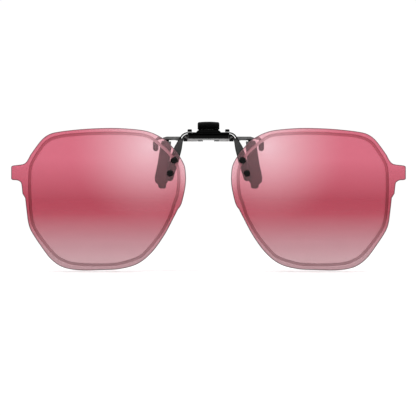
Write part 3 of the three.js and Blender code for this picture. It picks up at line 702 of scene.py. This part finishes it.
def make_lens(side, sign):
    outline = fitted(lens_outline())
    middle = groove_line()
    half = GROOVE_W / 2
    floor = half - 0.16
    rim = offset_line(outline, EDGE_ROUND)
    loops = [rim] + [offset_line(middle, d) for d in (-half, -floor, floor, half)]
    free = spread_points(loops[-1])
    points, edges = [], []
    for loop in loops:
        first = len(points)
        points += loop
        edges += [(first + i, first + (i + 1) % len(loop)) for i in range(len(loop))]
    flat, _, faces, *_ = delaunay_2d_cdt(points + free, edges, [range(len(rim))], 1, 1e-4)
    bm = bmesh.new()
    off = [distance_to(middle, p) for p in flat]
    depth = [GROOVE_D * (1 - smoothstep(d, floor - 0.01, half - 0.01)) for d in off]
    front = [bm.verts.new((p.x, lens_front(p.x, p.y) + depth[i], p.y)) for i, p in enumerate(flat)]
    back = [bm.verts.new((p.x, lens_front(p.x, p.y) + LENS_T, p.y)) for p in flat]
    for face in faces:
        skin = bm.faces.new([front[i] for i in face])
        skin.material_index = int(all(off[i] < half + 0.01 for i in face))
        bm.faces.new([back[i] for i in reversed(face)])
    edge_ring(bm, outline)
    obj = piece(f"tinted_lens_{side}", bm, (LENS_CLEAR, LENS_GROOVE, LENS_EDGE), "lens_unit",
                [f"lens_{side}"], sharp=25.0, sign=sign)
    drill(obj, [hole_cutter(sign * x, z, BUSHING_R + FIT) for x, z in RIVET_SPOTS.values()])


def edge_ring(bm, outline):
    """The lens's ground edge, rounded over towards both faces."""
    turn = [math.pi / 2 * i / 5 for i in range(6)]
    lines = [(EDGE_ROUND * (1 - math.sin(a)), EDGE_ROUND * (1 - math.cos(a))) for a in turn]
    lines += [(EDGE_ROUND * (1 - math.cos(a)), LENS_T - EDGE_ROUND * (1 - math.sin(a))) for a in turn]
    rings = []
    for inset, down in lines:
        ring = offset_line(outline, inset)
        rings.append([bm.verts.new((p.x, lens_front(p.x, p.y) + down, p.y)) for p in ring])
    for near, far in zip(rings, rings[1:]):
        for i in range(len(near)):
            k = (i + 1) % len(near)
            bm.faces.new((near[i], near[k], far[k], far[i])).material_index = 2


def hole_cutter(x, z, radius):
    bm = bmesh.new()
    turned_mesh(bm, [(0, -6), (radius, -6), (radius, 6), (0, 6)], 48, lens_stand(x, z))
    bmesh.ops.recalc_face_normals(bm, faces=bm.faces)
    bmesh.ops.scale(bm, vec=(MM, MM, MM), verts=bm.verts)
    return new_object("hole_cutter", bm)


def drill(obj, cutters):
    """Cuts the holes, keeps the result as the object's mesh and removes the cutters."""
    for cutter in cutters:
        cutting = obj.modifiers.new("hole", "BOOLEAN")
        cutting.operation = "DIFFERENCE"
        cutting.solver = "EXACT"
        cutting.object = cutter
    ready = obj.evaluated_get(bpy.context.evaluated_depsgraph_get())
    mesh = bpy.data.meshes.new_from_object(ready)
    obj.modifiers.clear()
    obj.data = mesh
    for cutter in cutters:
        bpy.data.objects.remove(cutter)


def dome(radius, height, base, steps=10):
    """The (radius, height) pairs of a dome, from its rim to its top."""
    arc = [math.pi / 2 * i / steps for i in range(steps + 1)]
    pairs = [(radius * math.cos(a), base + height * math.sin(a)) for a in arc[:-1]]
    return pairs + [(0, base + height)]


def make_fixings(side, sign):
    back = LEG_DEPTH + BRACKET_T
    for level, (x, z) in RIVET_SPOTS.items():
        stand = lens_stand(sign * x, z)
        spot = f"{side}_{level}"
        bm = bmesh.new()
        end = -(back + CAP_H * 0.7)
        turned_mesh(bm, [(0, end), (SHANK_R, end), (SHANK_R, GAP), (HEAD_R * 0.97, GAP),
                         *dome(HEAD_R, HEAD_H - 0.08, GAP + 0.08)], 56, stand)
        piece(f"domed_rivet_{spot}", bm, RIVET_BLACK, "lens_unit", [f"lens_rivet_{spot}"])
        bm = bmesh.new()
        inner = SHANK_R + FIT
        long = LENS_T - GAP
        turned_mesh(bm, [(inner, -long), (BUSHING_R, -long), (BUSHING_R, -GAP), (inner, -GAP),
                         (inner, -long)], 48, stand)
        piece(f"nylon_bushing_{spot}", bm, NYLON, "lens_unit", [f"lens_bushing_{spot}"])
        bm = bmesh.new()
        low = -(back + GAP + CAP_H)
        floor = low + CAP_H * CAP_FLOOR
        turned_mesh(bm, [(0, low), (CAP_R * 0.55, low), (CAP_R * 0.8, low + 0.06),
                         (CAP_R * 0.95, low + 0.18), (CAP_R, low + 0.34), (CAP_R, low + CAP_H - 0.05),
                         (CAP_R - 0.05, low + CAP_H), (inner, low + CAP_H), (inner, floor),
                         (0, floor)], 48, stand)
        piece(f"back_cap_{spot}", bm, RIVET_BLACK, "lens_unit", [f"rivet_cap_{spot}"])


# ------------------------------------------------------------ the bracket

def bracket_front(x, z):
    on_lens = smoothstep(-z, -0.8, 2.6)
    return BRACKET_Y + (lens_front(x, z) + LEG_DEPTH - BRACKET_Y) * on_lens


def bracket_stations(count=70):
    outer = catmull([(0, 2.4), (7.2, 2.4), (8.6, 2.25), (9.7, 1.6), (10.5, 0.5), (11.6, -1.4), (12.6, -3.2),
                     (13.4, -5.6), (14.2, -8.6), (15.2, -12.6), (15.5, -14.2)], 12)
    inner = catmull([(0, 1.6), (6.6, 1.6), (7.7, 1.45), (8.5, 1), (9.1, 0.2), (9.4, -1.2), (9.8, -3.8),
                     (10.4, -6.2), (11.1, -9), (12.2, -12.3), (12.75, -14.1)], 12)
    pairs = list(zip(resampled(outer, count), resampled(inner, count)))
    last_outer, last_inner = pairs[-1]
    middle = (last_outer + last_inner) / 2
    half = (last_outer - last_inner) / 2
    for k in range(1, 8):
        angle = math.radians(90 * k / 7.5)
        across = half * math.cos(angle)
        low = Vector((0, -1.35 * math.sin(angle)))
        pairs.append((middle + low + across, middle + low - across))
    return pairs


def section(outer, inner):
    """A strip's section with fully rounded edges, from its outer to its inner edge."""
    across = (outer - inner).normalized()
    radius = BRACKET_T / 2
    inset = across * radius
    points = []
    for middle, start in ((outer - inset, -90), (inner + inset, 90)):
        for step in range(EDGE_STEPS + 1):
            angle = math.radians(start + 180 * step / EDGE_STEPS)
            p = middle + across * (radius * math.cos(angle))
            points.append((p.x, bracket_front(p.x, p.y) + radius + radius * math.sin(angle), p.y))
    # the line of bright steel that paints the shoulder's highlight runs between these two
    for distance in reversed(SHOULDER_HIGHLIGHT_BAND):
        p = outer - across * distance
        points.append((p.x, bracket_front(p.x, p.y), p.y))
    return points


def strip_slot(face, band):
    """The material slot of a strip's face: plating, black on its edges, and bright steel on the line that
    paints the shoulder's highlight.
    """
    middle = face.calc_center_median()
    if band == 2 * EDGE_STEPS + 2:
        return 2 if SHOULDER_HIGHLIGHT_X[0] < abs(middle.x) < SHOULDER_HIGHLIGHT_X[1] and middle.z > -1 else 0
    return int(band < EDGE_STEPS or EDGE_STEPS < band <= 2 * EDGE_STEPS)


def ear_mesh(bm, sign):
    """A cam ear round the flip pin: a disc with two detent flats, and its tongue to the sheet."""
    steps = 72
    flat = EAR_R - CAM_FLAT
    rings = {"outer": [], "bore": []}
    for i in range(steps):
        angle = 2 * math.pi * i / steps
        radius = EAR_R
        for facing in (0.0, math.pi / 2):
            lean = math.cos(angle - facing)
            if lean > 0.3:
                radius = min(radius, flat / lean)
        rings["outer"].append((radius * math.cos(angle), radius * math.sin(angle)))
        rings["bore"].append((BORE_R * math.cos(angle), BORE_R * math.sin(angle)))
    x0, x1 = sign * EAR_X, sign * (EAR_X + EAR_T)
    loops = []
    for ring, x in (("outer", x0), ("outer", x1), ("bore", x1), ("bore", x0)):
        loops.append([bm.verts.new((x, FLIP_Y + u, FLIP_Z + v)) for u, v in rings[ring]])
    for low, high in zip(loops, loops[1:] + loops[:1]):
        for i in range(steps):
            k = (i + 1) % steps
            bm.faces.new((low[i], low[k], high[k], high[i]))
    z0, z1 = 1.64, FLIP_Z + flat
    y0, y1 = BRACKET_Y + 0.35, FLIP_Y - 0.55
    corners = [(y0, z0), (y1, z0), (y1, z1), (y0, z1)]
    near = [bm.verts.new((x0, y, z)) for y, z in corners]
    far = [bm.verts.new((x1, y, z)) for y, z in corners]
    bm.faces.new(near)
    bm.faces.new(far[::-1])
    for i in range(4):
        k = (i + 1) % 4
        bm.faces.new((near[i], near[k], far[k], far[i]))


def make_bracket():
    pairs = bracket_stations()
    flip = [(Vector((-a.x, a.y)), Vector((-b.x, b.y))) for a, b in pairs[:0:-1]]
    bm = bmesh.new()
    rings = [section(a, b) for a, b in flip + pairs]
    rings_mesh(bm, rings)
    for index, face in enumerate(bm.faces):
        if len(face.verts) == 4:
            face.material_index = strip_slot(face, index % len(rings[0]))
    for sign in SIDES.values():
        ear_mesh(bm, sign)
    # the bright steel paints the highlight line along the shoulders
    looks = (DIPPED_BRACKET, MATT_BLACK, BRIGHT_STEEL)
    obj = piece("bracket_sheet", bm, looks, "lens_unit", ["lens_bracket"], 40.0)
    drill(obj, [hole_cutter(sign * x, z, SHANK_R + FIT)
                for sign in SIDES.values() for x, z in RIVET_SPOTS.values()])


# ------------------------------------------------------------ the hinge and the jaws

def make_pin(name, look, half, head_r, head_t, place, node):
    head = dome(head_r, head_t, half)
    profile = [(r, -h) for r, h in reversed(head)] + [(PIN_R, -half), (PIN_R, half)] + head
    bm = bmesh.new()
    turned_mesh(bm, profile, 40, place)
    piece(name, bm, look, "clip_body", [node])


def swept_mesh(bm, path, radius, sides=14):
    """A round wire along a path, with its ends rounded off."""
    ahead = [(b - a).normalized() for a, b in zip(path, path[1:])]
    tangents = [ahead[0]] + [(a + b).normalized() for a, b in zip(ahead, ahead[1:])] + [ahead[-1]]
    across = tangents[0].orthogonal().normalized()
    rings = []
    for p, tangent in zip(path, tangents):
        across = (across - tangent * across.dot(tangent)).normalized()
        up = tangent.cross(across)
        rings.append((p, tangent, across, up))

    def ring(frame_at, size, shift):
        p, tangent, side, up = frame_at
        turn = [2 * math.pi * i / sides for i in range(sides)]
        return [p + tangent * shift + (side * math.cos(a) + up * math.sin(a)) * size for a in turn]

    body = [ring(r, radius, 0) for r in rings]
    start = [ring(rings[0], radius * size, -radius * shift) for size, shift in ((0.5, 0.35), (0.85, 0.2))]
    end = [ring(rings[-1], radius * size, radius * shift) for size, shift in ((0.85, 0.2), (0.5, 0.35))]
    rings_mesh(bm, start + body + end)


def spring_path():
    """Down the rear leg, round the coil and up the front leg."""
    legs = SPRING_LEG - 0.1
    path = [Vector((COIL_X[0], COIL_R, legs * (1 - i / 6))) for i in range(6)]
    steps = int(COIL_TURNS * 28)
    for i in range(steps + 1):
        angle = -2 * math.pi * COIL_TURNS * i / steps
        x = COIL_X[0] + (COIL_X[1] - COIL_X[0]) * i / steps
        path.append(Vector((x, COIL_R * math.cos(angle), COIL_R * math.sin(angle))))
    path += [Vector((COIL_X[1], -COIL_R, legs * i / 6)) for i in range(1, 7)]
    return path


def make_spring(side, sign):
    bm = bmesh.new()
    swept_mesh(bm, spring_path(), WIRE_R)
    mirrored(bm, sign)
    bmesh.ops.recalc_face_normals(bm, faces=bm.faces)
    bmesh.ops.scale(bm, vec=(MM, MM, MM), verts=bm.verts)
    for face in bm.faces:
        face.smooth = True
    obj = new_object(f"torsion_spring_{side}", bm)
    obj.data.materials.append(SPRING_STEEL)
    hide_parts(f"jaw_spring_{side}")
    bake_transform(obj)


def make_barrel():
    """The hinge's sleeve with a turned waist, and the web that holds it to the front jaw."""
    bm = bmesh.new()
    bevel = 0.12
    profile = [(BORE_R, -BARREL_HALF), (BARREL_R - bevel, -BARREL_HALF), (BARREL_R, bevel - BARREL_HALF),
               (BARREL_R, BARREL_HALF - bevel), (BARREL_R - bevel, BARREL_HALF), (BORE_R, BARREL_HALF),
               (BORE_R, -BARREL_HALF)]
    turned_mesh(bm, profile, 48, along_x(0, FLIP_Y, FLIP_Z))
    _, high = (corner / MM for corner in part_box("hinge_barrel"))
    web = [(-WEB_HALF, WEB_Z[0]), (WEB_HALF, WEB_Z[0]), (WEB_HALF, WEB_Z[1]), (-WEB_HALF, WEB_Z[1])]
    slab_mesh(bm, web, FLIP_Y + 0.75, high.y)
    piece("barrel_sleeve", bm, ENAMEL, "clip_body", ["hinge_barrel"])


def make_washer(side, sign):
    start = BARREL_HALF + FIT
    bm = bmesh.new()
    outer = BARREL_R - 0.05
    turned_mesh(bm, [(BORE_R, 0), (outer, 0), (outer, WASHER_T), (BORE_R, WASHER_T), (BORE_R, 0)], 40,
                along_x(start, FLIP_Y, FLIP_Z))
    piece(f"thin_washer_{side}", bm, NYLON, "clip_body", [f"friction_washer_{side}"], sign=sign)


# ------------------------------------------------------------ assembly of the visible model

make_bracket()
make_barrel()
make_pin("flip_hinge_pin", STEEL, EAR_X + EAR_T + GAP, *FLIP_PIN_HEAD, along_x(0, FLIP_Y, FLIP_Z),
         "flip_pin")
make_pin("jaw_hinge_pin", PALE_STEEL, JAW_PIN_HALF, *JAW_PIN_HEAD, along_x(0, 0, 0), "jaw_pin")
refined("front_jaw", "front_jaw_sheet", DIPPED_JAW, "clip_body", SHEET_ROUND)
refined("rear_jaw", "rear_jaw_sheet", DIPPED_JAW, "rear_jaw_unit", SHEET_ROUND)
# the pads' second look paints a highlight along their foot
PAD_LOOK = (PLASTIC, PAD_HIGHLIGHT_PLASTIC)
refined("finger_pad_front", "moulded_pad_front", PAD_LOOK, "clip_body", PAD_ROUND,
        PAD_HIGHLIGHT_LIP)
refined("finger_pad_rear", "moulded_pad_rear", PAD_LOOK, "rear_jaw_unit", PAD_ROUND,
        PAD_HIGHLIGHT_LIP)
for side, sign in SIDES.items():
    make_lens(side, sign)
    make_fixings(side, sign)
    make_spring(side, sign)
    make_washer(side, sign)
    refined(f"front_claw_sleeve_{side}", f"front_claw_skin_{side}", SILICONE, "clip_body",
            0.14)
    refined(f"rear_claw_sleeve_{side}", f"rear_claw_skin_{side}", SILICONE, "rear_jaw_unit",
            0.12)
    refined(f"detent_spring_{side}", f"detent_leaf_{side}", BRIGHT_STEEL, "clip_body", 0.03)
    refined(f"detent_rivet_{side}", f"detent_stud_{side}", RIVET_BLACK, "clip_body", 0.08)


# ------------------------------------------------------------ studio

def make_world():
    """White all round. What is mirrored is bright at the horizon, dim over it and bright above."""
    world = bpy.data.worlds.new("studio")
    bpy.context.scene.world = world
    world.use_nodes = True
    tree = world.node_tree
    backdrop = tree.nodes["Background"]
    backdrop.inputs["Color"].default_value = (1, 1, 1, 1)
    place = tree.nodes.new("ShaderNodeTexCoord")
    split = tree.nodes.new("ShaderNodeSeparateXYZ")
    tree.links.new(place.outputs["Generated"], split.inputs["Vector"])
    mirrored_sky = add_node(tree, "ShaderNodeMapRange")
    mirrored_sky.inputs["From Min"].default_value = -0.1
    mirrored_sky.inputs["From Max"].default_value = 0.9
    mirrored_sky.inputs["To Min"].default_value = SKY_LEVELS[0]
    mirrored_sky.inputs["To Max"].default_value = SKY_LEVELS[1]
    tree.links.new(split.outputs["Z"], mirrored_sky.inputs["Value"])
    haze = add_node(tree, "ShaderNodeMapRange")
    haze.interpolation_type = "SMOOTHSTEP"
    haze.inputs["From Max"].default_value = HAZE_TOP
    haze.inputs["To Min"].default_value = HAZE_LEVEL
    haze.inputs["To Max"].default_value = 0.0
    tree.links.new(split.outputs["Z"], haze.inputs["Value"])
    mirrored_level = calculated(tree, "ADD", mirrored_sky.outputs["Result"], haze.outputs["Result"])
    path = tree.nodes.new("ShaderNodeLightPath")
    glossy = tree.nodes.new("ShaderNodeMath")
    glossy.operation = "SUBTRACT"
    glossy.use_clamp = True
    tree.links.new(path.outputs["Is Glossy Ray"], glossy.inputs[0])
    tree.links.new(path.outputs["Is Transmission Ray"], glossy.inputs[1])
    level = tree.nodes.new("ShaderNodeMix")
    level.inputs[2].default_value = WHITE_LEVEL
    tree.links.new(glossy.outputs[0], level.inputs[0])
    tree.links.new(mirrored_level, level.inputs[3])
    tree.links.new(level.outputs[0], backdrop.inputs["Strength"])


def soft_light(name, size, place, aim, power):
    """A round lamp that lights the object but isn't mirrored in it."""
    data = bpy.data.lights.new(name, "AREA")
    data.shape = "DISK"
    data.size = size
    data.energy = power
    lamp = bpy.data.objects.new(name, data)
    lamp.location = place
    lamp.visible_glossy = False
    lamp.rotation_euler = (Vector(aim) - Vector(place)).to_track_quat("-Z", "Y").to_euler()
    bpy.context.scene.collection.objects.link(lamp)


def make_floor():
    low = cad_box[0][2]
    bm = bmesh.new()
    bmesh.ops.create_circle(bm, cap_ends=True, radius=FLOOR_RADIUS, segments=96)
    bmesh.ops.translate(bm, vec=(0, 0, low - FLOOR_DROP), verts=bm.verts)
    mesh = bpy.data.meshes.new("floor")
    bm.to_mesh(mesh)
    bm.free()
    floor = bpy.data.objects.new("floor", mesh)
    bpy.context.scene.collection.objects.link(floor)
    mat, tree, shader = material("pale_floor", Roughness=0.9, Specular_IOR_Level=0.0)
    cloud = noise(tree, object_coordinates(tree), 6.0)
    tree.links.new(ramp(tree, cloud, [(0.3, grey(0.99)), (0.7, grey(1.0))]), shader.inputs["Base Color"])
    mesh.materials.append(mat)


def make_camera():
    data = bpy.data.cameras.new("camera")
    data.lens = FOCAL_MM
    data.sensor_width = SENSOR_MM
    data.clip_start = 0.01
    data.clip_end = 100
    camera = bpy.data.objects.new("camera", data)
    distance = VIEW_WIDTH * FOCAL_MM / SENSOR_MM
    camera.location = (VIEW_CENTRE_X, LENS_PLANE_Y - distance, VIEW_CENTRE_Z)
    camera.rotation_euler = (math.pi / 2, 0, 0)
    bpy.context.scene.collection.objects.link(camera)
    bpy.context.scene.camera = camera


make_world()
make_floor()
make_camera()
for name, size, place, power in LAMPS:
    soft_light(name, size, place, LAMP_AIM, power)
bpy.context.scene.view_settings.view_transform = "Standard"
